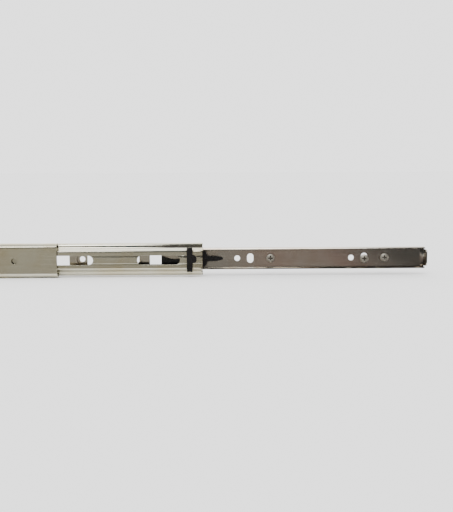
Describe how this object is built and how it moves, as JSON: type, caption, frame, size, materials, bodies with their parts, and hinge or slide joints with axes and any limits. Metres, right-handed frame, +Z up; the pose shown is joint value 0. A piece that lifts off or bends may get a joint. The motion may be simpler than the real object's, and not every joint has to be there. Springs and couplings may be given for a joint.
{
  "type": "drawer slide",
  "caption": "Side-mounted full-extension drawer slide with three nested steel rails on two caged rows of balls, shown open, with a black release lever.",
  "frame": {"origin": "on the cabinet mounting face of the cabinet rail, midway between its two plain fixing holes", "axes": "+X the way the drawer opens, +Y from the cabinet wall to the drawer side, +Z up"},
  "size_m": [0.608, 0.034, 0.0286],
  "materials": {
    "plated_steel": "bright zinc plate",
    "cage_steel": "thin plated strip",
    "ball_steel": "polished",
    "screw_steel": "zinc plate",
    "black_plastic": "moulded",
    "bumper_rubber": "moulded"
  },
  "bodies": {
    "cabinet_member": {"cabinet_rail": "plated_steel", "cabinet_screws": "screw_steel", "rear_bumper": "bumper_rubber"},
    "outer_cage_member": {"outer_cage": "cage_steel", "outer_balls_top": "ball_steel", "outer_balls_bottom": "ball_steel"},
    "intermediate_member": {"intermediate_rail": "plated_steel", "front_stop": "black_plastic"},
    "inner_cage_member": {"inner_cage": "cage_steel", "inner_balls_top": "ball_steel", "inner_balls_bottom": "ball_steel"},
    "drawer_member": {"drawer_rail": "plated_steel", "drawer_screws": "screw_steel", "lever_rivet": "screw_steel"},
    "lever_member": {"release_lever": "black_plastic"}
  },
  "joints": [
    {"name": "intermediate_slide", "type": "slide", "parent": "cabinet_member", "child": "intermediate_member", "axis": [1, 0, 0], "range_m": [-0.12, 0]},
    {"name": "outer_cage_slide", "type": "slide", "parent": "cabinet_member", "child": "outer_cage_member", "axis": [1, 0, 0], "range_m": [-0.06, 0]},
    {"name": "drawer_slide", "type": "slide", "parent": "intermediate_member", "child": "drawer_member", "axis": [1, 0, 0], "range_m": [-0.185, 0]},
    {"name": "inner_cage_slide", "type": "slide", "parent": "intermediate_member", "child": "inner_cage_member", "axis": [1, 0, 0], "range_m": [-0.0925, 0]},
    {"name": "lever_pivot", "type": "hinge", "parent": "drawer_member", "child": "lever_member", "pos_m": [0.2, 0.0106, 0], "axis": [0, 1, 0], "range_deg": [0, 7], "stiffness_Nm_per_rad": 0.02}
  ],
  "couplings": [
    {"joint": "outer_cage_slide", "follows": "intermediate_slide", "ratio": 0.5},
    {"joint": "inner_cage_slide", "follows": "drawer_slide", "ratio": 0.5}
  ]
}
